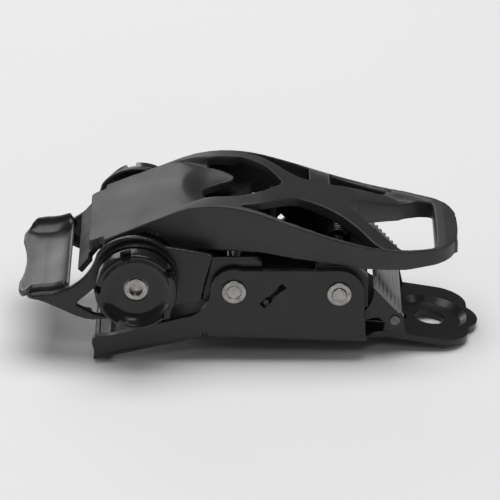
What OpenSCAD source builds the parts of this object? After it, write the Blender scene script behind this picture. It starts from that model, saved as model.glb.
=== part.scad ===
// Lever-operated strap tensioner with an anchor tongue.
// +X runs from the thumb rest to the anchor tongue, +Z up. The origin lies under the middle of the part.

/* [Frame] */
// Thickness of the stamped steel sheet
sheet = 2; // [1.8:0.1:2.1]
// Outside width of the frame walls and of the yoke
body_w = 56.5; // [56.5:0.1:57]
// Radius of the rounded lobes round both pivots
lobe_r = 7.7; // [7.4:0.1:8]
// Slope of the anchor tongue in degrees
tongue_tilt = 9.5; // [9:0.1:10]
// Half the width of the anchor tongue
tongue_half = 20; // [19:0.5:21]
// Radius of the anchor eye
eye_r = 5.25; // [5:0.05:5.5]
// Depth of the dished recess round the eye
dish_depth = 1.8; // [1.6:0.1:2]

/* [Pivots] */
// Radius of the solid pivot pins
pin_r = 2.3; // [2.1:0.05:2.35]
// Outside radius of the tubular bushes round the pins
bush_r = 3; // [2.9:0.05:3.2]
// Radial running clearance of every turning joint
run_gap = 0.05; // [0.03:0.01:0.08]

/* [Spool] */
// Radius of the spool shaft
spool_r = 7; // [6.8:0.1:7.2]
// Width of the strap slot between the shaft halves
strap_slot = 3; // [2.6:0.1:3.2]
// Width over both knobs
over_knobs = 74.8; // [74.6:0.1:75.2]
// Radius of the knob's grip ring
knob_r = 13.5; // [13.3:0.1:13.7]
// Radius of the knob's back flange
flange_r = 13.9; // [13.7:0.1:14.2]
// Number of ratchet teeth
teeth = 12; // [12:4:16]

/* [Lever] */
// Thickness of the lever's top web
web_t = 2.8; // [2.4:0.1:3]
// Thickness of the lever's side walls
wall_t = 2.4; // [2.2:0.1:2.6]

/* [Hidden] */
$fn = 64;

// Axes seen from the side, as [x, z]
spool_axis = [-36.8, 30.1];
yoke_axis = [-5.2, 26.2];
latch_axis = [29, 25.4];
pad_axis = [47.3, 14.5];
pad_pin_r = 1.6;
lug_r = 2.35;

half_w = body_w / 2;
inner_w = half_w - sheet;          // inner face of the walls and of the yoke's outer arms
arm_out = inner_w - 0.5;           // outer face of the yoke's joggled arms
arm_in = arm_out - sheet;

// Underside of the channel seen from the side
tip = [-50, 0.7];
knee = [-14.6, 8.8];
heel = [37.8, 7];
wall_top = 33.4;

// Strap window in the floor
window_left = -46;
window_right = -26.4;

// Anchor tongue, measured along its slope from the heel
eye_x = 22;
tip_x = 37.9;
end_r = 10;
dish_r = 12.3;
collar_r = 7.2;
collar_end = ((eye_x + collar_r) * sin(tongue_tilt) - heel[1]) / cos(tongue_tilt);

// Spool stack, as distances from the middle plane
ear_in = 18.6;
ear_out = 20.6;
wheel_in = 21;
wheel_out = 24;
washer_out = 25.1;
knob_back = half_w + 0.6;
knob_face = over_knobs / 2;
wheel_r = 13;
root_r = 10.9;
hold_angle = -8;
drive_angle = 22;

// ---- helpers ----

// Raises a shape drawn in the side view to a slab that spans y0 to y1
module slab(y0, y1) {
    translate([0, y1, 0]) rotate([90, 0, 0]) linear_extrude(y1 - y0) children();
}

// The same slab on both sides of the middle plane
module both_slabs(y0, y1) {
    slab(y0, y1) children();
    slab(-y1, -y0) children();
}

module both_sides() {
    children();
    mirror([0, 1, 0]) children();
}

// A round bar along Y round an axis given as [x, z]
module bar(axis, r, y0, y1) {
    translate([axis[0], y1, axis[1]]) rotate([90, 0, 0]) cylinder(r = r, h = y1 - y0);
}

module disc_at(p, r) {
    translate(p) circle(r = r);
}

function bezier(a, b, c, d, n) = [for (i = [0:n]) let (t = i / n, s = 1 - t)
    s * s * s * a + 3 * s * s * t * b + 3 * s * t * t * c + t * t * t * d];

function upside(points) = [for (p = points) [p[0], -p[1]]];

function reversed(points) = [for (i = [len(points) - 1:-1:0]) points[i]];

// A helical wire seen as rings: a spring's coil along Y
module coil(axis, r, wire_r, turns, y0) {
    for (i = [0:turns - 1])
        translate([axis[0], y0 + wire_r * (2.02 * i + 1), axis[1]])
            rotate([90, 0, 0]) rotate_extrude() translate([r, 0]) circle(r = wire_r, $fn = 40);
}

// A straight wire between two points
module wire(p, q, r) {
    d = q - p;
    l = norm(d);
    translate(p) rotate([0, acos(d[2] / l), atan2(d[1], d[0])]) cylinder(r = r, h = l, $fn = 40);
}

// ---- frame ----

module wall_outline() {
    lobe_left = yoke_axis[0] - lobe_r;
    fillet_r = 9.5;
    difference() {
        union() {
            polygon([tip, knee, heel, [37, latch_axis[1]], [latch_axis[0], wall_top],
                     [yoke_axis[0], wall_top], [lobe_left, yoke_axis[1]],
                     [lobe_left - fillet_r, yoke_axis[1]], [lobe_left - fillet_r, 16.5],
                     [-45.3, 10.4], [-48.9, 10.4], [-51.6, 7.7]]);
            disc_at(yoke_axis, lobe_r);
            disc_at(latch_axis, wall_top - latch_axis[1]);
            disc_at([-48.9, 7.7], 2.7);
        }
        disc_at([lobe_left - fillet_r, yoke_axis[1]], fillet_r);
        disc_at(yoke_axis, bush_r);
        disc_at(latch_axis, bush_r);
        spring_slot();
    }
}

// Slanted slot that takes the leg of the yoke spring
module spring_slot() {
    translate([7.5, 24.6]) rotate(45) {
        square([9.4, 1.5], center = true);
        translate([4.2, 0]) square([2, 2.2], center = true);
        translate([-3.3, 0]) square([3.8, 2.3], center = true);
    }
}

module floor_plates() {
    slope = (knee[1] - tip[1]) / (knee[0] - tip[0]);
    left_z = tip[1] + slope * (window_right - tip[0]);
    slab(-half_w, half_w)
        polygon([[window_right, left_z], knee, heel, heel + [0, sheet], knee + [0, sheet],
                 [window_right, left_z + sheet]]);
    slab(-half_w, half_w) {
        polygon([tip, [window_left, tip[1] + slope * (window_left - tip[0])],
                 [window_left, tip[1] + slope * (window_left - tip[0]) + sheet], [-50.6, 3.1]]);
        disc_at([-49.9, 2.1], 1.3);
    }
}

// Tool that rounds the bend between a wall and the floor along one straight stretch
module bend_tool(p, q) {
    bend_r = 3;
    d = q - p;
    translate([p[0], -half_w, p[1]]) rotate([0, -atan2(d[1], d[0]), 0]) translate([-1, 0, 0])
        rotate([90, 0, 90]) linear_extrude(norm(d) + 2) difference() {
            translate([-1, -1]) square(bend_r + 1);
            translate([bend_r, bend_r]) circle(r = bend_r);
        }
}

module tongue_outline() {
    root = 8;
    difference() {
        translate([-0.5, 2.6 - half_w]) square([root + 0.5, body_w - 5.2]);
        for (s = [-1, 1]) disc_at([root, s * (tongue_half + root)], root);
    }
    translate([root, -tongue_half]) square([34.5 - end_r - root, 2 * tongue_half]);
    translate([34.5 - end_r, -end_r]) square([end_r, 2 * end_r]);
    for (s = [-1, 1]) disc_at([34.5 - end_r, s * (tongue_half - end_r)], end_r);
    disc_at([tip_x - end_r, 0], end_r);
}

module tongue() {
    translate([heel[0], 0, heel[1]]) rotate([0, tongue_tilt, 0]) difference() {
        union() {
            linear_extrude(sheet) tongue_outline();
            translate([eye_x, 0, -dish_depth])
                cylinder(r1 = dish_r - 0.6, r2 = dish_r + 1.2, h = dish_depth);
            translate([eye_x, 0, collar_end]) cylinder(r = collar_r, h = -collar_end);
        }
        translate([eye_x, 0, sheet - dish_depth])
            cylinder(r1 = dish_r - 1.8, r2 = dish_r, h = dish_depth);
        translate([eye_x, 0, -5]) cylinder(r = eye_r, h = 10);
        translate([eye_x - 9.4, -4.6, -5]) cube([1.6, 3.4, 10]);
    }
}

module pad_lugs() {
    both_slabs(tongue_half - sheet, tongue_half) difference() {
        union() {
            polygon([[43.4, 6.6], [51.6, 5.2], pad_axis + [lug_r, 0], pad_axis - [lug_r, 0]]);
            disc_at(pad_axis, lug_r);
        }
        disc_at(pad_axis, pad_pin_r);
    }
}

module frame() {
    color("#26272a") difference() {
        union() {
            both_slabs(inner_w, half_w) wall_outline();
            floor_plates();
            tongue();
            pad_lugs();
        }
        both_sides() {
            bend_tool(tip, knee);
            bend_tool(knee, heel);
        }
    }
}

// ---- pivots ----

module flanged_bushes(axis, length) {
    both_sides() difference() {
        union() {
            bar(axis, bush_r, half_w - length, half_w);
            bar(axis, 3.95, half_w, half_w + 0.9);
        }
        bar(axis, pin_r, 0, half_w + 2);
    }
}

module yoke_bushes() {
    color("#cfccc6") flanged_bushes(yoke_axis, 5.4);
}

module yoke_pin() {
    color("#b9b6b0") bar(yoke_axis, pin_r, -half_w - 0.8, half_w + 0.8);
}

module latch_bushes() {
    color("#cfccc6") flanged_bushes(latch_axis, 5.4);
}

module latch_pin() {
    color("#b9b6b0") bar(latch_axis, pin_r, -half_w - 1.5, half_w + 1.5);
}

module pad_pin() {
    color("#2c2d30") bar(pad_axis, pad_pin_r, -25.9, 25.9);
}

module yoke_spring() {
    coil_y = arm_in - 0.3 - 8.1;
    color("#9a9a98") both_sides() {
        coil(yoke_axis, 3.9, 0.8, 5, coil_y);
        wire([yoke_axis[0] + 3.9, coil_y + 7.3, yoke_axis[1] - 0.4], [5.2, coil_y + 7.3, 22.3], 0.75);
        translate([5.2, coil_y + 7.3, 22.3]) sphere(r = 1.1);
        bar([5.2, 22.3], 0.95, coil_y + 7.3, half_w);
    }
}

// ---- yoke ----

rest_centre = [-67.2, 43.2];
rest_r = 18;

module yoke_side_outline() {
    difference() {
        union() {
            disc_at([-37.3, 30.4], 15.2);
            polygon([[-71.8, 24], [-67, 22.3], [-62.2, 20], [-57.4, 17.6], [-53.8, 16.3],
                     [-51.2, 15.9], [-44, 16.5], [-30, 18.3], [-24.2, 21.1], [-16.2, 22.3],
                     [-14.5, 30], [-12, 39], [-17.6, 40.3], [-28, 42.2], [-37, 44],
                     [-50.3, 38.3], [-66.8, 34], [-67.8, 25.1], [-71.8, 24.6]]);
        }
        disc_at(rest_centre, rest_r);
        polygon([[-51.2, 15.9], [-44, 16.5], [-30, 18.3], [-24.2, 21.1], [-20, 10], [-50, 10]]);
        difference() {
            polygon([[-56.8, 21.6], [-46, 31.4], [-44, 16.8], [-50.5, 18.1]]);
            disc_at(spool_axis, 12);
        }
        disc_at(spool_axis, 8.6);
    }
}

module thumb_rest_section() {
    intersection() {
        difference() {
            disc_at(rest_centre, rest_r + sheet);
            disc_at(rest_centre, rest_r);
        }
        polygon([[-68, 20], [-58.8, 20], [-58.8, 32], [-68, 32]]);
    }
    polygon([[-76, 24.1], [-76, 22.3], [-67.5, 23.2], [-67.5, 25.2]]);
}

module thumb_rest_plan() {
    corner_r = 8;
    hollow_r = 76;
    difference() {
        union() {
            for (s = [-1, 1]) disc_at([-67.5, s * (half_w - corner_r)], corner_r);
            translate([-75.5, corner_r - half_w]) square([8, body_w - 2 * corner_r]);
            translate([-67.5, -half_w]) square([9, body_w]);
        }
        disc_at([-73.8 - hollow_r, 0], hollow_r);
    }
}

module joggled_arm_outline() {
    union() {
        disc_at(yoke_axis, 8);
        polygon([[-17, 22.3], [-5.2, 18.3], [-5.2, 26.2], [3.9, 26.2], [3.9, 34.5], [1.4, 37],
                 [-13.4, 37], [-15.5, 30]]);
        disc_at([1.4, 34.5], 2.5);
    }
}

module yoke() {
    color("#1f2023") difference() {
        union() {
            both_slabs(inner_w, half_w) yoke_side_outline();
            intersection() {
                slab(-half_w, half_w) thumb_rest_section();
                linear_extrude(60) thumb_rest_plan();
            }
            both_slabs(22.8, half_w)
                polygon([[-67, 22.3], [-62.2, 20], [-57.4, 17.6], [-53.8, 16.3], [-51.5, 15.95],
                         [-51.5, 17.95], [-53.8, 18.4], [-57.4, 19.8], [-62.2, 22.2], [-67, 24.5]]);
            both_slabs(arm_in, arm_out) joggled_arm_outline();
            both_slabs(arm_in, half_w)
                polygon([[-18.2, 22.1], [-16.2, 22.3], [-14.5, 30], [-12.8, 36.5], [-15.2, 36.5],
                         [-16.6, 30]]);
        }
        bar(yoke_axis, bush_r + run_gap, -half_w, half_w);
    }
}

module spool_bushes() {
    color("#8d8a84") both_sides() difference() {
        union() {
            bar(spool_axis, 8.6, inner_w, half_w);
            bar(spool_axis, 10, inner_w - 0.9, inner_w);
        }
        bar(spool_axis, spool_r + run_gap, 0, half_w + 1);
    }
}

// Places a shape drawn along the radius of the spool, x outwards, at an angle
module on_radius(angle) {
    translate(spool_axis) rotate(angle) children();
}

module pawl_guide() {
    color("#34363a") {
        slab(-arm_in + 0.1, arm_in - 0.1) on_radius(hold_angle) {
            translate([15.5, 1.7]) square([5.4, 1.5]);
            translate([15.5, -3.2]) square([5.4, 1.5]);
            translate([20.9, -3.2]) square([1.4, 6.4]);
        }
        both_slabs(arm_in - 0.1, inner_w) on_radius(hold_angle) {
            translate([15.5, 1.7]) square([2.6, 1.5]);
            translate([15.5, -3.2]) square([2.6, 1.5]);
        }
    }
}

module hold_springs() {
    color("#9a9a98") for (y = [-12, 12])
        translate([spool_axis[0], y, spool_axis[1]]) rotate([0, -hold_angle, 0])
            for (i = [0:1]) translate([18.55 + i * 1.3, 0, 0]) rotate([0, 90, 0])
                rotate_extrude() translate([1, 0]) circle(r = 0.35, $fn = 40);
}

module hold_pawl() {
    color("#4a4c50") {
        slab(-23.5, 23.5) on_radius(hold_angle) translate([14.8, -1.5]) square([3.2, 3]);
        both_slabs(wheel_in + 0.1, 23.5) on_radius(hold_angle)
            polygon([[11.8, -0.6], [11.8, 0.6], [14.9, 1.2], [14.9, -1.2]]);
    }
}

// ---- spool ----

module spool_half(side) {
    intersection() {
        bar(spool_axis, spool_r, -knob_face + 5, knob_face - 5);
        translate([spool_axis[0] - 10, -40, spool_axis[1] + (side > 0 ? strap_slot / 2 : -20)])
            cube([20, 80, 20 - strap_slot / 2]);
    }
}

module upper_spool_half() {
    color("#77797c") spool_half(1);
}

module lower_spool_half() {
    color("#77797c") spool_half(-1);
}

// Ratchet wheel outline with a tooth gap at the holding pawl
module ratchet_outline() {
    pitch = 360 / teeth;
    difference() {
        circle(r = wheel_r);
        for (i = [0:teeth - 1]) rotate(hold_angle + i * pitch)
            polygon([[root_r, -1.3], [root_r, 1.3], [wheel_r + 1, 2.6], [wheel_r + 1, -2.6]]);
        circle(r = spool_r);
    }
}

module wheel() {
    slab(wheel_in, wheel_out) translate(spool_axis) ratchet_outline();
}

module near_wheel() {
    color("#6b6d70") mirror([0, 1, 0]) wheel();
}

module far_wheel() {
    color("#6b6d70") wheel();
}

module spool_washers() {
    color("#a9a7a2") both_slabs(wheel_out, washer_out) difference() {
        disc_at(spool_axis, 10.5);
        disc_at(spool_axis, spool_r);
    }
}

module knob_notches() {
    for (a = [104, 32, -40, -112, 176]) rotate(a)
        polygon([[knob_r - 2.2, -1.1], [knob_r - 2.2, 1.1], [knob_r + 1, 2.3], [knob_r + 1, -2.3]]);
}

// Knob on the far side: flange, neck and a notched grip ring whose face is a bowl
module knob() {
    neck = knob_back + 2.5;
    grip_back = 32;
    bowl_floor = knob_face - 2.5;
    bowl = bezier([12.4, knob_face], [11.4, knob_face], [10.4, bowl_floor], [7.2, bowl_floor], 8);
    translate([spool_axis[0], 0, spool_axis[1]]) rotate([-90, 0, 0]) difference() {
        union() {
            translate([0, 0, knob_back]) cylinder(r = flange_r, h = neck - knob_back);
            translate([0, 0, neck]) cylinder(r = knob_r - 0.7, h = grip_back - neck);
            rotate_extrude()
                polygon(concat([[4.1, grip_back], [knob_r - 0.4, grip_back], [knob_r, grip_back + 0.6],
                                [knob_r - 0.2, knob_face - 1.1], [knob_r - 0.5, knob_face - 0.3]],
                               bowl, [[4.1, bowl_floor]]));
        }
        translate([0, 0, grip_back + 1.4]) linear_extrude(6) mirror([0, 1]) knob_notches();
        cylinder(r = spool_r, h = knob_face - 5);
        cylinder(r = 4.1, h = knob_face + 1);
    }
}

module near_knob() {
    color("#1b1c1e") mirror([0, 1, 0]) knob();
}

module far_knob() {
    color("#1b1c1e") knob();
}

module knob_rivet() {
    difference() {
        union() {
            bar(spool_axis, 4.1, knob_face - 5, knob_face - 3);
            bar(spool_axis, 3.7, knob_face - 3, knob_face - 2.3);
        }
        bar(spool_axis, 2.2, knob_face - 4.2, knob_face);
    }
}

module near_knob_rivet() {
    color("#cfccc6") mirror([0, 1, 0]) knob_rivet();
}

module far_knob_rivet() {
    color("#cfccc6") knob_rivet();
}

// ---- lever ----

hood_left = [-52.5, 39.7];
crown_left = [-24, 51.3];
crown_right = [6, 51];
saddle = [50, 38.7];
lever_end = [68.3, 37.3];
lever_top = concat([hood_left],
    bezier(crown_left, [-16, 54.6], [-6, 55.2], crown_right, 10),
    bezier(crown_right, [20, 46.2], [34, 40.4], saddle, 10),
    bezier(saddle, [56, 38], [62, 37.6], lever_end, 4));
hood_slope = (crown_left[1] - hood_left[1]) / (crown_left[0] - hood_left[0]);
function hood_under(x) = hood_left[1] - web_t + hood_slope * (x - hood_left[0]);
function dropped(points, d) = [for (p = points) [p[0], p[1] - d]];

// Half of the lever's outline seen from above, from the hood to the end of the handle
lever_half = concat([[-52.5, 0], [-52.5, 22.6]],
    bezier([-35, 21.7], [-22, 21], [-12, 22.4], [2, 24.2], 8),
    bezier([12, 25.5], [24, 26.4], [40, 26.2], [52, 23.8], 8),
    bezier([60, 20.8], [66.5, 17.5], [68.2, 12], [68.3, 0], 8));
function inset(points, d) = [for (p = points) [min(p[0], lever_end[0] - d), max(0, p[1] - d)]];

module lever_plan(d) {
    half = d == 0 ? lever_half : inset(lever_half, d);
    polygon(concat(half, reversed(upside(half))));
}

module top_band(depth) {
    polygon(concat(lever_top, reversed(dropped(lever_top, depth))));
}

// Side walls as deep as the lever's flank shows them, cut away round the ratchet wheels
module flank_outline() {
    difference() {
        polygon(concat(lever_top, [[68.3, 33.2], [50, 33], [26, 35.6], [4, 38.4], [-20, 38.2],
                                   [-30, 34], [-48, 38], [-51.5, 36.8]]));
        disc_at(spool_axis, 14.3);
    }
}

module grip_window() {
    half = [[33, 0], [34.4, 4], [46, 14.9], [51, 19], [56, 19.4], [60.6, 17.4], [61, 0]];
    polygon(concat(half, reversed(upside(half))));
}

module flank_window() {
    polygon([[-4.7, 20.7], [0, 19.8], [3.6, 18], [8, 14.6], [12.5, 10.5], [15.5, 8.8], [20, 8.5], [25, 9.6],
             [30, 12], [35, 15.5], [40.6, 20.4], [45, 22.2], [47.5, 22.8], [42, 23.9], [32, 24.2], [24, 24.1],
             [10, 23]]);
}

module scoop_window() {
    half = [[-15.6, 0], [-13.6, 5], [-10, 7.6], [-6, 9.8], [-5, 11.4], [-6.5, 12.8], [-14.4, 15.2],
            [-14.4, 15.9], [-2.9, 15.6], [4.8, 10], [10, 1]];
    polygon(concat(half, reversed(upside(half))));
}

module lever_openings() {
    grip_window();
    flank_window();
    mirror([0, 1]) flank_window();
    scoop_window();
}

module lever_ears() {
    both_slabs(ear_in, ear_out) difference() {
        union() {
            disc_at(spool_axis, 10.6);
            polygon([[-47.2, 31], [-44, 41.2], [-22, 50], [-17.5, 40], [-17, 34.5], [-27, 29.5]]);
        }
        disc_at(spool_axis, spool_r + run_gap);
        on_radius(drive_angle) translate([11.3, -1.5]) square([7.6, 3]);
    }
}

module lever() {
    color("#3a3b3d") {
        difference() {
            lever_shell();
            both_slabs(20.8, 26) disc_at(spool_axis, wheel_r + 0.5);
            both_slabs(18, 24.2) on_radius(drive_angle) translate([11.3, -1.5]) square([7.6, 3]);
        }
        lever_ears();
        pawl_rib();
        handle_bar();
    }
}

module lever_shell() {
    intersection() {
        slab(-27, 27) top_band(web_t);
        linear_extrude(60) difference() {
            lever_plan(0);
            lever_openings();
        }
    }
    intersection() {
        slab(-27, 27) flank_outline();
        linear_extrude(60) difference() {
            lever_plan(0);
            lever_plan(wall_t);
        }
    }
    // Strut across the far window
    intersection() {
        slab(8, 25.5) top_band(web_t);
        translate([19.5, 8, 0]) cube([6.8, 17.5, 60]);
    }
}

// Cross rib that the drive spring pushes against
module pawl_rib() {
    slab(-7.5, 7.5) polygon([[6.5, 42.5], [8.5, 42.5], [8.5, 47.6], [6.5, 48.6]]);
}

module handle_bar() {
    intersection() {
        slab(-27, 27) polygon([[61, 33.2], [61, 38], [68.3, 37.3], [68.3, 33.2]]);
        linear_extrude(60) lever_plan(0.4);
    }
}

// Inclined guard plate whose flange lies under the front of the hood
module spool_guard() {
    color("#3a3b3d") {
        slab(-ear_in + 0.2, ear_in - 0.2)
            polygon([[-56, 31.2], [-50.6, hood_under(-50.6)], [-42, hood_under(-42)],
                     [-42, hood_under(-42) - 1.5], [-49.2, hood_under(-49.2) - 1.5], [-54.6, 30]]);
        both_slabs(ear_in - 0.2, 21.8)
            polygon([[-56, 31.2], [-52.6, 35.3], [-51.2, 34.2], [-54.6, 30]]);
    }
}

module guard_rivets() {
    x = -45.3;
    color("#8d8a84") for (y = [-10, 10])
        translate([x, y, hood_under(x) - 1.5]) rotate([0, -atan(hood_slope), 0])
            translate([0, 0, -0.75]) cylinder(r = 1.4, h = 0.75);
}

module drive_pawl() {
    color("#55575b") {
        slab(-17.6, 17.6) on_radius(drive_angle) translate([15.1, -1.2]) square([24.9, 2.4]);
        both_slabs(17.6, 23.8) on_radius(drive_angle)
            polygon([[13.4, -0.6], [13.4, 0.6], [14.7, 1.2], [16.9, 1.2], [16.9, -1.2], [14.7, -1.2]]);
        both_slabs(10, 17.6) on_radius(drive_angle) translate([13.4, -1.2]) square([1.8, 2.4]);
    }
}

module drive_spring() {
    color("#9a9a98") translate([spool_axis[0], 0, spool_axis[1]]) rotate([0, -drive_angle, 0])
        for (i = [0:3]) translate([40.4 + i * 1.3, 0, 0]) rotate([0, 90, 0])
            rotate_extrude() translate([1, 0]) circle(r = 0.3, $fn = 40);
}

// ---- latch and release ----

module latch_cam() {
    cam_w = inner_w - 0.4;
    color("#232427") difference() {
        union() {
            both_slabs(cam_w - 4, cam_w) latch_outline();
            slab(-cam_w, cam_w) intersection() {
                latch_outline();
                polygon([[33.5, 27.2], [42, 27.2], [42, 20], [33.5, 20]]);
            }
        }
        bar(latch_axis, bush_r + run_gap, -half_w, half_w);
    }
}

module latch_outline() {
    difference() {
        disc_at(latch_axis, 11);
        polygon([[20, 14], [42, 14], [42, 19.5], [30, 19.5], [24, 24], [20, 36.5], [15, 30]]);
        polygon([[33.5, 35.1], [39.6, 28.7], [46, 28.7], [46, 40], [33.5, 40]]);
        translate([38.4, 10]) square([8, 20]);
        translate([15, 34.3]) square([25, 5]);
    }
}

module latch_spring() {
    color("#9a9a98") {
        coil(latch_axis, 3.2, 0.8, 5, 13.4);
        wire([latch_axis[0] + 0.3, 20.6, latch_axis[1] - 3.15], [20, 20.6, 11.1], 0.72);
    }
}

// Places a shape drawn along the slope of the release pad
module on_pad() {
    translate([40.75, 26.4]) rotate(-48) children();
}

// Cheek of the release bracket, hollowed round the latch cam
module cheek_outline() {
    difference() {
        union() {
            disc_at(pad_axis, 2.9);
            polygon([[40.29, 25.99], [48.45, 16.93], [49.4, 16.7], [50.2, 15.5], [50.2, 13.5],
                     [49.5, 11.6], [48, 10.4], [47.1, 10.4], [44.2, 13.4], [42, 15.4],
                     [40.5, 15.3], [37.6, 14.5], [37.5, 19.5], [39.2, 20.5]]);
        }
        disc_at(latch_axis, 11.4);
    }
}

module release_bracket() {
    color("#2e2f32") {
        both_slabs(23.4, 25.2) difference() {
            cheek_outline();
            disc_at(pad_axis, pad_pin_r + run_gap);
        }
        slab(-23.4, 23.4) difference() {
            on_pad() translate([0.3, -2]) square([9.2, 1.38]);
            disc_at(latch_axis, 11.4);
        }
    }
}

module release_pad() {
    ribs = 7;
    rib_pitch = 1.9;
    color("#8f9091") slab(-25.2, 25.2) on_pad() {
        translate([-0.3, -0.6]) square([12.5, 0.8]);
        for (i = [0:ribs - 1]) translate([0.4 + i * rib_pitch, 0.1]) circle(r = 0.7, $fn = 40);
    }
}

module pad_spring() {
    color("#c9c8c4") {
        coil(pad_axis, 2.1, 0.4, 3, -22.9);
        wire([pad_axis[0] + 0.4, -22.48, pad_axis[1] - 2.05], [36.6, -22.48, 13.2], 0.35);
    }
}

frame();
yoke_bushes();
yoke_pin();
latch_bushes();
latch_pin();
pad_pin();
yoke_spring();
yoke();
spool_bushes();
pawl_guide();
hold_springs();
hold_pawl();
upper_spool_half();
lower_spool_half();
near_wheel();
far_wheel();
spool_washers();
near_knob();
far_knob();
near_knob_rivet();
far_knob_rivet();
lever();
spool_guard();
guard_rivets();
drive_pawl();
drive_spring();
latch_cam();
latch_spring();
release_bracket();
release_pad();
pad_spring();
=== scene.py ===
"""Looks for the webbing tensioner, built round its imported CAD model. Metres, in the CAD frame."""
import math

import bmesh
import bpy
import numpy as np
from mathutils import Matrix, Vector


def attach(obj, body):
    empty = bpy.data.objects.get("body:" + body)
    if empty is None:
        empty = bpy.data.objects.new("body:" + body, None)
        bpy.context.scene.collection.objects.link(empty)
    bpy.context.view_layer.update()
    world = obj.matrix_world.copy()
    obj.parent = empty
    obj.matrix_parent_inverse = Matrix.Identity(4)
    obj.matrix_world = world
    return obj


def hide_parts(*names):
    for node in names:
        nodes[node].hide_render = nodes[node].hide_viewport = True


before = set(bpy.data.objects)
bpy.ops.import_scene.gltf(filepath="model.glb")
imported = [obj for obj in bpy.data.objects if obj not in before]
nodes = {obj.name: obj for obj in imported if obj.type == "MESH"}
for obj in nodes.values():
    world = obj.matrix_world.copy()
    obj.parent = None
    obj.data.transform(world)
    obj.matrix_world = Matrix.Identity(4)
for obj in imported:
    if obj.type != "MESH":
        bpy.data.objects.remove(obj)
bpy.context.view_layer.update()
MM = 0.001

# Axes of the mechanism in the side view, in millimetres: (x, z)
SPOOL = (-36.8, 30.1)
YOKE_PIVOT = (-5.2, 26.2)
LATCH_PIVOT = (29.0, 25.4)
PAD_PIN = (47.3, 14.5)
# The drive pawl's line above the horizontal, in degrees, and the room that the lever's walls leave round the wheels
DRIVE_ANGLE = 22
WHEEL_CLEARANCE = 14.6


# ---------------------------------------------------------------- materials

class Shader:
    """A material's node tree with short calls for the nodes used here."""

    def __init__(self, name):
        self.mat = bpy.data.materials.new(name)
        self.mat.use_nodes = True
        self.tree = self.mat.node_tree
        self.bsdf = self.tree.nodes["Principled BSDF"]
        coord = self.tree.nodes.new("ShaderNodeTexCoord")
        self.place = coord.outputs["Object"]

    def link(self, a, b):
        self.tree.links.new(a, b)

    def noise(self, scale, detail=4.0, rough=0.55, stretch=None):
        n = self.tree.nodes.new("ShaderNodeTexNoise")
        n.inputs["Scale"].default_value = scale
        n.inputs["Detail"].default_value = detail
        n.inputs["Roughness"].default_value = rough
        if stretch:
            m = self.tree.nodes.new("ShaderNodeMapping")
            m.inputs["Scale"].default_value = stretch
            self.link(self.place, m.inputs["Vector"])
            self.link(m.outputs["Vector"], n.inputs["Vector"])
        else:
            self.link(self.place, n.inputs["Vector"])
        return n.outputs["Fac"]

    def cells(self, scale):
        n = self.tree.nodes.new("ShaderNodeTexVoronoi")
        n.inputs["Scale"].default_value = scale
        self.link(self.place, n.inputs["Vector"])
        return n.outputs["Distance"]

    def ramp(self, value, stops):
        r = self.tree.nodes.new("ShaderNodeValToRGB")
        r.color_ramp.elements[0].position, r.color_ramp.elements[0].color = stops[0][0], grey(stops[0][1])
        r.color_ramp.elements[1].position, r.color_ramp.elements[1].color = stops[-1][0], grey(stops[-1][1])
        for at, c in stops[1:-1]:
            e = r.color_ramp.elements.new(at)
            e.color = grey(c)
        self.link(value, r.inputs["Fac"])
        return r.outputs["Color"]

    def bump(self, layers):
        """Each layer is (height value, depth in metres, strength); they stack."""
        last = None
        for value, depth, strength in layers:
            b = self.tree.nodes.new("ShaderNodeBump")
            b.inputs["Strength"].default_value = strength
            b.inputs["Distance"].default_value = depth
            self.link(value, b.inputs["Height"])
            if last:
                self.link(last, b.inputs["Normal"])
            last = b.outputs["Normal"]
        self.link(last, self.bsdf.inputs["Normal"])

    def colour(self, value, stops):
        self.link(self.ramp(value, stops), self.bsdf.inputs["Base Color"])

    def roughness(self, value, low, high):
        m = self.tree.nodes.new("ShaderNodeMapRange")
        m.inputs["From Min"].default_value = 0.3
        m.inputs["From Max"].default_value = 0.7
        m.inputs["To Min"].default_value = low
        m.inputs["To Max"].default_value = high
        self.link(value, m.inputs["Value"])
        self.link(m.outputs["Result"], self.bsdf.inputs["Roughness"])

    def set(self, **values):
        for k, v in values.items():
            self.bsdf.inputs[k.replace("_", " ")].default_value = v
        return self


def grey(c):
    return (c, c, c, 1) if isinstance(c, (int, float)) else (*c, 1)


def coated_steel():
    s = Shader("black_coated_steel")
    fine, broad = s.noise(1500, 3), s.noise(70, 5)
    s.colour(s.noise(240, 6), [(0.3, (0.005, 0.005, 0.0053)), (0.7, (0.009, 0.009, 0.0095))])
    s.roughness(broad, 0.26, 0.40)
    s.bump([(s.noise(520, 2), 0.00006, 0.35), (fine, 0.00002, 0.3)])
    s.set(Coat_Weight=0.2, Coat_Roughness=0.15, Specular_IOR_Level=0.38)
    return s.mat


def cast_black():
    s = Shader("black_die_casting")
    s.colour(s.noise(180, 6), [(0.3, (0.016, 0.016, 0.0165)), (0.7, (0.024, 0.024, 0.0245))])
    s.roughness(s.noise(60, 5), 0.40, 0.52)
    s.bump([(s.noise(2400, 3), 0.00003, 0.5), (s.noise(300, 3), 0.00006, 0.15)])
    s.set(Specular_IOR_Level=0.5, Coat_Weight=0.12, Coat_Roughness=0.35)
    return s.mat


def gloss_black():
    s = Shader("gloss_black_moulding")
    s.colour(s.noise(200, 5), [(0.3, (0.006, 0.006, 0.0065)), (0.7, (0.011, 0.011, 0.012))])
    s.roughness(s.noise(90, 4), 0.13, 0.24)
    s.bump([(s.noise(420, 2), 0.00008, 0.4), (s.noise(1800, 2), 0.00002, 0.2)])
    s.set(Specular_IOR_Level=0.35, Coat_Weight=0.2, Coat_Roughness=0.1)
    return s.mat


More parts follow.
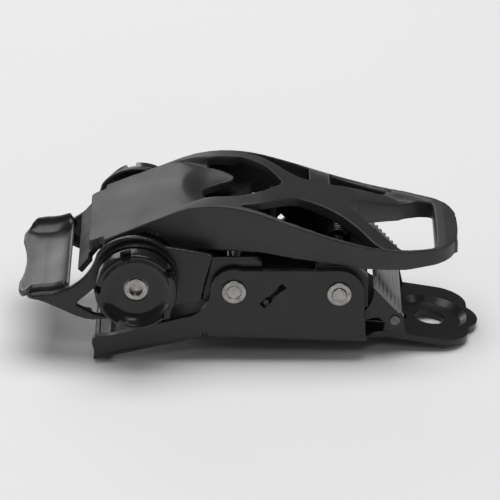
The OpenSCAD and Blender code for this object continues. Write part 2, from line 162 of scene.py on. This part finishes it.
def bright_steel():
    s = Shader("bright_plated_steel")
    s.colour(s.noise(500, 6), [(0.3, (0.24, 0.232, 0.222)), (0.7, (0.42, 0.408, 0.39))])
    s.roughness(s.noise(700, 5), 0.18, 0.38)
    s.bump([(s.noise(900, 4), 0.00004, 0.5), (s.cells(1600), 0.00002, 0.3)])
    s.set(Metallic=1.0)
    return s.mat


def grey_steel():
    s = Shader("grey_phosphated_steel")
    s.colour(s.noise(400, 6), [(0.3, (0.10, 0.10, 0.102)), (0.7, (0.20, 0.20, 0.20))])
    s.roughness(s.noise(300, 5), 0.34, 0.5)
    s.bump([(s.noise(1200, 3, stretch=(1, 0.1, 1)), 0.00004, 0.5)])
    s.set(Metallic=0.9)
    return s.mat


def dark_steel():
    s = Shader("dark_oiled_steel")
    s.colour(s.noise(300, 6), [(0.3, (0.013, 0.013, 0.014)), (0.7, (0.03, 0.03, 0.031))])
    s.roughness(s.noise(150, 5), 0.30, 0.46)
    s.bump([(s.noise(1100, 4), 0.00003, 0.4)])
    s.set(Metallic=0.35)
    return s.mat


def spring_steel():
    s = Shader("spring_wire")
    s.colour(s.noise(600, 5), [(0.3, (0.03, 0.03, 0.03)), (0.7, (0.08, 0.08, 0.078))])
    s.roughness(s.noise(900, 4), 0.25, 0.42)
    s.bump([(s.noise(2000, 3), 0.00002, 0.4)])
    s.set(Metallic=1.0)
    return s.mat


def pad_plastic():
    s = Shader("grey_ribbed_moulding")
    s.colour(s.noise(160, 6), [(0.3, (0.19, 0.19, 0.19)), (0.7, (0.25, 0.25, 0.25))])
    s.roughness(s.noise(240, 5), 0.50, 0.66)
    s.bump([(s.noise(1500, 4), 0.00006, 0.5)])
    s.set(Specular_IOR_Level=0.4)
    return s.mat


COATED, CAST, GLOSS = coated_steel(), cast_black(), gloss_black()
BRIGHT, GREY, DARK = bright_steel(), grey_steel(), dark_steel()
SPRING, PAD = spring_steel(), pad_plastic()


def dress(obj, material):
    obj.data.materials.clear()
    obj.data.materials.append(material)
    if obj.type == "MESH":
        obj.data.polygons.foreach_set("use_smooth", [True] * len(obj.data.polygons))


def soften(obj, width, angle=32, segments=3):
    """Rounds a CAD node's sharp edges with modifiers, so that they catch the light."""
    weld = obj.modifiers.new("weld", "WELD")
    weld.merge_threshold = 2e-6
    flat = obj.modifiers.new("dissolve", "DECIMATE")
    flat.decimate_type = "DISSOLVE"
    flat.angle_limit = math.radians(0.4)
    bevel = obj.modifiers.new("bevel", "BEVEL")
    bevel.width = width * MM
    bevel.segments = segments
    bevel.limit_method = "ANGLE"
    bevel.angle_limit = math.radians(angle)
    bevel.use_clamp_overlap = True
    normals = obj.modifiers.new("normals", "WEIGHTED_NORMAL")
    normals.keep_sharp = False
    normals.weight = 60


FINISH = {
    "frame": (COATED, 0.35),
    "yoke_bushes": (BRIGHT, 0.25), "yoke_pin": (BRIGHT, 0.2),
    "latch_bushes": (BRIGHT, 0.25), "latch_pin": (BRIGHT, 0.3), "pad_pin": (GREY, 0.2),
    "spool_bushes": (GREY, 0.15), "pawl_guide": (DARK, 0.2), "hold_pawl": (DARK, 0.25),
    "upper_spool_half": (GREY, 0.3), "lower_spool_half": (GREY, 0.3),
    "near_wheel": (GREY, 0.15), "far_wheel": (GREY, 0.15), "spool_washers": (GREY, 0.15),
    "near_knob": (GLOSS, 0.3), "far_knob": (GLOSS, 0.3),
    "near_knob_rivet": (BRIGHT, 0.15), "far_knob_rivet": (BRIGHT, 0.15),
    "spool_guard": (DARK, 0.3), "guard_rivets": (GREY, 0.2), "drive_pawl": (DARK, 0.3),
    "latch_cam": (DARK, 0.35), "release_bracket": (COATED, 0.3), "release_pad": (PAD, 0.15),
}
for name, (material, width) in FINISH.items():
    dress(nodes[name], material)
    if "custom_normal" in nodes[name].data.attributes:
        nodes[name].data.attributes.remove(nodes[name].data.attributes["custom_normal"])
    soften(nodes[name], width)


# ---------------------------------------------------------------- springs

def wound(name, points, radius, body, replaced):
    """A round wire along a list of points in millimetres."""
    curve = bpy.data.curves.new(name, "CURVE")
    curve.dimensions = "3D"
    curve.bevel_depth = radius * MM
    curve.bevel_resolution = 5
    curve.use_fill_caps = True
    for run in points:
        s = curve.splines.new("POLY")
        s.points.add(len(run) - 1)
        for p, q in zip(s.points, run):
            p.co = (q[0] * MM, q[1] * MM, q[2] * MM, 1)
    obj = bpy.data.objects.new(name, curve)
    bpy.context.scene.collection.objects.link(obj)
    dress(obj, SPRING)
    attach(obj, body)
    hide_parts(replaced)
    return obj


def helix(axis, r, y0, y1, turns, start=0.0, steps=28):
    n = int(turns * steps)
    return [(axis[0] + r * math.cos(start + 2 * math.pi * i / steps),
             y0 + (y1 - y0) * i / n,
             axis[1] + r * math.sin(start + 2 * math.pi * i / steps)) for i in range(n + 1)]


def yoke_spring():
    runs = []
    for side in (-1, 1):
        run = [(x, y * side, z) for x, y, z in helix(YOKE_PIVOT, 3.9, 15.4, 22.9, 4.6, start=-0.4 - 3.77)]
        run += [(0.8, 22.9 * side, 24.4), (4.4, 22.95 * side, 22.6), (5.0, 23.2 * side, 22.3),
                (5.2, 23.8 * side, 22.3), (5.2, 28.2 * side, 22.3)]
        runs.append(run)
    wound("yoke_spring_wire", runs, 0.85, "frame", "yoke_spring")


def latch_spring():
    run = [(20, 20.7, 11.1)] + helix(LATCH_PIVOT, 3.2, 20.7, 13.6, 4.75, start=-math.pi / 2)
    wound("latch_spring_wire", [run], 0.7, "frame", "latch_spring")


def pad_spring():
    run = [(36.6, -22.5, 13.2)] + helix(PAD_PIN, 2.1, -22.5, -20.5, 3.0, start=-math.pi / 2)
    wound("pad_spring_wire", [run], 0.33, "frame", "pad_spring")


def push_springs(name, node, body, angle, start, end, radius, wire, turns, sides):
    """Compression springs that lie along a radius of the spool."""
    a = math.radians(angle)
    out, up = (math.cos(a), math.sin(a)), (-math.sin(a), math.cos(a))
    runs = []
    for y in sides:
        run = []
        n = turns * 24
        for i in range(n + 1):
            t = 2 * math.pi * i / 24
            d = start + (end - start) * i / n
            h, w = radius * math.cos(t), radius * math.sin(t)
            run.append((SPOOL[0] + d * out[0] + h * up[0], y + w, SPOOL[1] + d * out[1] + h * up[1]))
        runs.append(run)
    wound(name, runs, wire, body, node)


yoke_spring()
latch_spring()
pad_spring()
push_springs("hold_spring_wire", "hold_springs", "yoke", -8, 18.4, 20.6, 1.0, 0.28, 4, (-12, 12))
push_springs("drive_spring_wire", "drive_spring", "lever", DRIVE_ANGLE, 40.2, 44.6, 1.0, 0.28, 5, (0,))


# ---------------------------------------------------------------- lever

def bezier(a, b, c, d, n=30):
    t = np.linspace(0, 1, n + 1)[:, None]
    a, b, c, d = (np.array(p, float) for p in (a, b, c, d))
    return (1 - t) ** 3 * a + 3 * (1 - t) ** 2 * t * b + 3 * (1 - t) * t * t * c + t ** 3 * d


def rounded(points, cut):
    """Rounds a closed outline's corners, from a set length before each to the same length after it."""
    pts = [np.array(p, float) for p in points]
    out = []
    for i, p in enumerate(pts):
        a, b = pts[i - 1], pts[(i + 1) % len(pts)]
        la, lb = np.linalg.norm(a - p), np.linalg.norm(b - p)
        ca, cb = min(cut, la * 0.45), min(cut, lb * 0.45)
        p0, p1 = p + (a - p) / la * ca, p + (b - p) / lb * cb
        for t in np.linspace(0, 1, 6):
            out.append((1 - t) ** 2 * p0 + 2 * t * (1 - t) * p + t * t * p1)
    return out


TOP = np.vstack([
    [[-60, 36.65], [-52.5, 39.7]],
    bezier((-24, 51.3), (-16, 54.6), (-6, 55.2), (6, 51)),
    bezier((6, 51), (20, 46.2), (34, 40.4), (50, 38.7))[1:],
    bezier((50, 38.7), (56, 38), (62, 37.6), (68.3, 37.3))[1:],
])
BOTTOM = np.array([(-60, 36), (-51.5, 36.8), (-48, 38), (-30, 34), (-26, 35.8), (-20, 38.2), (4, 38.2),
                   (26, 35.0), (38, 32.9), (50, 31.9), (60, 32.2), (70, 33.0)])
HALF = np.vstack([
    [(-52.5, 22.6)],
    bezier((-35, 21.7), (-22, 21), (-12, 22.4), (2, 24.2)),
    bezier((12, 25.5), (24, 26.4), (40, 26.2), (52, 23.8)),
    bezier((60, 20.8), (66.5, 17.5), (68.2, 12), (68.3, 0)),
])


NOTCHED = [(-52.5, 18.9), (-47.8, 18.9), (-47.8, 22.3)] + [tuple(p) for p in HALF[1:]]


def lever_outline(inset=0.0):
    half = [(min(x, 68.3 - inset), y - inset) for x, y in NOTCHED if y - inset > 0]
    return half + [(x, -y) for x, y in reversed(half)]


GRIP = [(32.6, 0), (34.6, 4.2), (40, 9.6), (46, 15.0), (51.2, 19.3), (55.5, 19.6), (60.2, 17.6), (61, 14),
        (61.2, 0), (61, -14), (60.2, -17.6), (55.5, -19.6), (51.2, -19.3), (46, -15.0), (40, -9.6), (34.6, -4.2)]
FLANK = [(-4.7, 21.4), (0, 20.3), (3.6, 18.6), (8, 14.8), (12.5, 10.5), (15.5, 8.8), (20, 8.5), (25, 9.6),
         (30, 12), (35, 15.5), (40.6, 20.6), (45, 22.4), (48.5, 23.1), (44, 24.6), (34, 25.2), (24, 25.0),
         (10, 23.9)]
SCOOP_HALF = [(-15.6, 0), (-15.3, 2.4), (-13.6, 5.0), (-10, 7.6), (-6, 9.8), (-5, 11.4), (-6.5, 12.8),
              (-10, 14.4), (-14.2, 15.2), (-14.6, 15.9), (-9, 16.1), (-2.9, 15.6), (1, 13.3), (4.8, 10),
              (8, 5.2), (10.2, 1.2)]
SCOOP = SCOOP_HALF + [(x, -y) for x, y in reversed(SCOOP_HALF[1:])]
# Half the gap between the two rails, along X: the hood lies sunk between them
GAP = np.array([(-28, 21.5), (-22, 18.2), (-14.6, 15.9), (-9, 16.1), (-2.9, 15.6), (1, 13.3), (4.8, 10),
                (8, 5.2), (10.2, 1.2), (11.5, 0.0)])


def outset(points, d):
    """A closed outline moved outward by a set distance."""
    pts = np.array(points, float)
    along = np.roll(pts, -1, 0) - np.roll(pts, 1, 0)
    normal = np.stack([-along[:, 1], along[:, 0]], 1)
    normal /= np.linalg.norm(normal, axis=1)[:, None]
    flip = np.sign(((pts - pts.mean(0)) * normal).sum(1))[:, None]
    return [tuple(p) for p in pts + normal * flip * d]


def prism(outlines, low, high):
    """A flat-sided solid from a filled outline with holes, in millimetres."""
    curve = bpy.data.curves.new("outline", "CURVE")
    curve.dimensions = "2D"
    curve.fill_mode = "BOTH"
    curve.extrude = (high - low) / 2 * MM
    for pts in outlines:
        s = curve.splines.new("POLY")
        s.points.add(len(pts) - 1)
        for p, q in zip(s.points, pts):
            p.co = (q[0] * MM, q[1] * MM, 0, 1)
        s.use_cyclic_u = True
    obj = bpy.data.objects.new("outline", curve)
    mesh = bpy.data.meshes.new_from_object(obj)
    mesh.transform(Matrix.Translation((0, 0, (high + low) / 2 * MM)))
    bpy.data.objects.remove(obj)
    return mesh


def apply_modifiers(obj):
    view = bpy.context.evaluated_depsgraph_get()
    mesh = bpy.data.meshes.new_from_object(obj.evaluated_get(view))
    obj.modifiers.clear()
    obj.data = mesh


def smoothstep(a, b, x):
    t = np.clip((x - a) / (b - a), 0, 1)
    return t * t * (3 - 2 * t)


DEEP = 24.0


def lever_shell():
    bm = bmesh.new()
    near_flank = [(x, -y) for x, y in reversed(FLANK)]
    holes = [rounded(GRIP, 1.6), rounded(FLANK, 1.0), rounded(near_flank, 1.0), rounded(SCOOP, 0.9)]
    parts = [prism([rounded(lever_outline(), 0.9)] + holes, -5.0, 0.0),
             prism([rounded(lever_outline(), 0.9), rounded(lever_outline(1.5), 0.9)], -DEEP, -1.0),
             prism([rounded([(19.5, 7), (26.3, 7), (26.3, 25.2), (19.5, 25.2)], 0.4)], -5.0, 0.0),
             prism([rounded(outset(GRIP, 1.7), 1.2), rounded(GRIP, 1.6)], -DEEP, -1.0),
             prism([rounded([(60.6, -17), (68.0, -12), (68.0, 12), (60.6, 17)], 0.4)], -DEEP, -1.0)]
    for m in parts:
        bm.from_mesh(m)
        bpy.data.meshes.remove(m)
    mesh = bpy.data.meshes.new("lever_casting")
    bm.to_mesh(mesh)
    bm.free()
    obj = bpy.data.objects.new("lever_casting", mesh)
    bpy.context.scene.collection.objects.link(obj)
    remesh = obj.modifiers.new("remesh", "REMESH")
    remesh.mode = "VOXEL"
    remesh.voxel_size = 0.42 * MM
    smooth = obj.modifiers.new("smooth", "SMOOTH")
    smooth.factor, smooth.iterations = 0.5, 2
    apply_modifiers(obj)
    return obj


def shape_lever(obj):
    """Lays the flat shell along the lever's curve, with its crown, scoop and rails."""
    mesh = obj.data
    co = np.zeros(len(mesh.vertices) * 3)
    mesh.vertices.foreach_get("co", co)
    p = co.reshape(-1, 3) / MM
    x, y, z = p[:, 0], p[:, 1], p[:, 2]
    top = np.interp(x, TOP[:, 0], TOP[:, 1])
    bottom = np.interp(x, BOTTOM[:, 0], BOTTOM[:, 1])
    half = np.interp(x, HALF[:, 0], HALF[:, 1])
    web = np.interp(x, [-52.5, 0, 20, 40, 70], [2.8, 2.8, 3.6, 4.4, 4.6])
    # Vertical place inside the casting: the web keeps its own thickness, the walls reach the bottom line
    in_web = np.clip(-z / 5.0, 0, 1) * web
    below = np.clip((-z - 5.0) / (DEEP - 5.0), 0, 1) * np.maximum(top - bottom - web, 0.05)
    deep = in_web + below
    side = np.abs(y) / np.maximum(half, 1)
    crown = np.interp(x, [-52.5, -30, -8, 4, 25, 33, 40, 45.8, 49.3, 56],
                      [0, 0.3, 1.4, 2.9, 3.4, 3.1, 2.4, 1.3, 0.7, 0])
    rise = crown * (1 - side ** 3)
    dish = np.interp(x, [30, 35, 40, 45.8, 49.3, 55, 61, 64], [0, 0.5, 1.5, 2.3, 2.9, 2.0, 0.5, 0])
    rise -= dish * (1 - smoothstep(0.84, 0.97, side))
    # The hood sinks between the rails and dips into a bowl for the thumb
    gap = np.interp(x, GAP[:, 0], GAP[:, 1])
    between = (1 - smoothstep(gap - 0.5, gap + 0.3, np.abs(y))) * (x < 11.5) * smoothstep(-40, -24, x)
    sunk = 2.4 * smoothstep(-26, -13, x) + 3.0 * (1 - smoothstep(6, 15, np.hypot(x + 8, y * 0.8)))
    hood_end = np.where(x < -4.4, 1.0, 0.0)
    rise = rise * (1 - between * hood_end) - sunk * between * hood_end
    total = np.maximum(top - bottom, 1)
    z = top - deep + rise * np.clip(1 - (deep - web) / total, 0, 1)
    near = (np.hypot(x - SPOOL[0], z - SPOOL[1]) < WHEEL_CLEARANCE) & (deep > web)
    z = np.where(near, SPOOL[1] + np.sqrt(np.maximum(WHEEL_CLEARANCE ** 2 - (x - SPOOL[0]) ** 2, 0)), z)
    p[:, 2] = z
    mesh.vertices.foreach_set("co", (p * MM).ravel())
    mesh.update()


def ears():
    """The lever's two ears round the spool, not yet cut for the axle and the pawl."""
    out = []
    for y0 in (-20.6, 18.6):
        bm = bmesh.new()
        outline = [(SPOOL[0] + 10.6 * math.cos(t), SPOOL[1] + 10.6 * math.sin(t))
                   for t in np.linspace(math.radians(115), math.radians(358), 40)]
        outline += [(-17.2, 34.6), (-17.8, 40), (-22, 49.2), (-43.5, 40.6)]
        vs = [bm.verts.new((px * MM, y0 * MM, pz * MM)) for px, pz in outline]
        face = bm.faces.new(vs)
        made = bmesh.ops.extrude_face_region(bm, geom=[face])
        moved = [v for v in made["geom"] if isinstance(v, bmesh.types.BMVert)]
        bmesh.ops.translate(bm, verts=moved, vec=(0, 2 * MM, 0))
        bmesh.ops.recalc_face_normals(bm, faces=bm.faces)
        out.append(bm)
    return out


def solid(name, bm):
    mesh = bpy.data.meshes.new(name)
    bm.to_mesh(mesh)
    bm.free()
    obj = bpy.data.objects.new(name, mesh)
    bpy.context.scene.collection.objects.link(obj)
    return obj


def tube_tool(r, x, z, length):
    bm = bmesh.new()
    bmesh.ops.create_cone(bm, cap_ends=True, segments=96, radius1=r * MM, radius2=r * MM, depth=length * MM)
    bmesh.ops.rotate(bm, verts=bm.verts, cent=(0, 0, 0), matrix=Matrix.Rotation(math.pi / 2, 3, "X"))
    bmesh.ops.translate(bm, verts=bm.verts, vec=(x * MM, 0, z * MM))
    return bm


def box_tool(low, high):
    bm = bmesh.new()
    bmesh.ops.create_cube(bm, size=1)
    size = [(b - a) * MM for a, b in zip(low, high)]
    centre = [(b + a) / 2 * MM for a, b in zip(low, high)]
    bmesh.ops.scale(bm, verts=bm.verts, vec=size)
    bmesh.ops.translate(bm, verts=bm.verts, vec=centre)
    return bm


def cut(obj, bm):
    tool = solid("tool", bm)
    m = obj.modifiers.new("cut", "BOOLEAN")
    m.operation, m.object, m.solver = "DIFFERENCE", tool, "EXACT"
    apply_modifiers(obj)
    bpy.data.objects.remove(tool)


def make_lever():
    obj = lever_shell()
    shape_lever(obj)
    smooth = obj.modifiers.new("smooth", "SMOOTH")
    smooth.factor, smooth.iterations = 0.5, 3
    thin = obj.modifiers.new("thin", "DECIMATE")
    thin.ratio = 0.35
    apply_modifiers(obj)
    dress(obj, CAST)
    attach(obj, "lever")
    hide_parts("lever")
    for name, bm in zip(("near_lever_ear", "far_lever_ear"), ears()):
        ear = solid(name, bm)
        cut(ear, tube_tool(7.1, SPOOL[0], SPOOL[1], 60))
        slot = box_tool((11.3, -30, -1.5), (18.9, 30, 1.5))
        bmesh.ops.rotate(slot, verts=slot.verts, cent=(0, 0, 0),
                         matrix=Matrix.Rotation(-math.radians(DRIVE_ANGLE), 3, "Y"))
        bmesh.ops.translate(slot, verts=slot.verts, vec=(SPOOL[0] * MM, 0, SPOOL[1] * MM))
        cut(ear, slot)
        dress(ear, DARK)
        soften(ear, 0.25)
        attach(ear, "lever")
    rib = solid("lever_pawl_rib", box_tool((6.5, -7.5, 42.6), (8.5, 7.5, 48.2)))
    dress(rib, CAST)
    soften(rib, 0.4)
    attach(rib, "lever")


make_lever()


# ---------------------------------------------------------------- yoke

def make_yoke():
    """The yoke as a pressed sheet: its CAD shape with soft bends and a dished thumb rest."""
    obj = bpy.data.objects.new("yoke_pressing", nodes["yoke"].data.copy())
    bpy.context.scene.collection.objects.link(obj)
    remesh = obj.modifiers.new("remesh", "REMESH")
    remesh.mode = "VOXEL"
    remesh.voxel_size = 0.42 * MM
    apply_modifiers(obj)
    mesh = obj.data
    co = np.zeros(len(mesh.vertices) * 3)
    mesh.vertices.foreach_get("co", co)
    p = co.reshape(-1, 3) / MM
    x, y, z = p[:, 0], np.abs(p[:, 1]), p[:, 2]
    # A wide fillet lifts the rest's ends into the side plates
    inner, r = 26.25, 4.6
    d = np.clip(y - (inner - r), 0, r - 0.05)
    lift = r - np.sqrt(r * r - d * d)
    on_rest = smoothstep(-75.0, -70.5, x) * (1 - smoothstep(-60.5, -58.6, x)) * (y < inner + 0.05)
    dish = 1.3 * np.clip(1 - ((x + 67.2) / 8.5) ** 2, 0, 1) * (1 - smoothstep(20, 26, y))
    p[:, 2] = z + lift * on_rest - dish
    mesh.vertices.foreach_set("co", (p * MM).ravel())
    mesh.update()
    smooth = obj.modifiers.new("smooth", "SMOOTH")
    smooth.factor, smooth.iterations = 0.5, 4
    thin = obj.modifiers.new("thin", "DECIMATE")
    thin.ratio = 0.35
    apply_modifiers(obj)
    dress(obj, COATED)
    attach(obj, "yoke")
    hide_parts("yoke")


make_yoke()


# ---------------------------------------------------------------- studio

def studio():
    bm = bmesh.new()
    bm.faces.new([bm.verts.new((x, y, 0)) for x, y in ((-0.7, -0.6), (0.7, -0.6), (0.7, 0.6), (-0.7, 0.6))])
    floor = solid("floor", bm)
    s = Shader("pale_paper")
    s.colour(s.noise(3, 3), [(0.3, 0.86), (0.7, 0.88)])
    s.roughness(s.noise(40, 3), 0.85, 0.95)
    s.bump([(s.noise(900, 3), 0.00002, 0.2)])
    dress(floor, s.mat)


def lamp(name, at, target, size, watts, size_y=None):
    data = bpy.data.lights.new(name, "AREA")
    data.shape = "RECTANGLE"
    data.size, data.size_y = size, size_y or size
    data.energy = watts
    obj = bpy.data.objects.new(name, data)
    obj.location = at
    obj.rotation_mode = "QUATERNION"
    obj.rotation_quaternion = (Vector(target) - Vector(at)).to_track_quat("-Z", "Y")
    bpy.context.scene.collection.objects.link(obj)


def camera():
    data = bpy.data.cameras.new("camera")
    data.sensor_width = 36
    data.lens = 36 * 1464 / 165
    obj = bpy.data.objects.new("camera", data)
    target = Vector((0, 0, 0.0279))
    e = math.radians(25)
    obj.location = target + 1.464 * Vector((0, -math.cos(e), math.sin(e)))
    obj.rotation_mode = "QUATERNION"
    obj.rotation_quaternion = (target - obj.location).to_track_quat("-Z", "Y")
    data.clip_start, data.clip_end = 0.05, 20
    bpy.context.scene.collection.objects.link(obj)
    bpy.context.scene.camera = obj


studio()
lamp("floor_wash", (0.0, 0.1, 2.2), (0, 0.05, 0), 2.0, 42.0, 2.0)
lamp("back_softbox", (-0.24, 0.76, 0.34), (0, 0, 0.03), 0.42, 0.9, 0.36)
lamp("left_strip", (-0.8, -0.25, 0.30), (0, 0, 0.03), 0.18, 0.9, 0.6)
lamp("right_strip", (0.8, -0.1, 0.35), (0, 0, 0.03), 0.15, 0.6, 0.5)
lamp("front_fill", (0.2, -1.2, 1.1), (0, 0, 0.03), 0.5, 1.5, 0.3)
camera()

world = bpy.data.worlds.new("studio")
world.use_nodes = True
world.node_tree.nodes["Background"].inputs["Color"].default_value = (1, 1, 1, 1)
world.node_tree.nodes["Background"].inputs["Strength"].default_value = 0.10
bpy.context.scene.world = world
bpy.context.scene.view_settings.view_transform = "Standard"
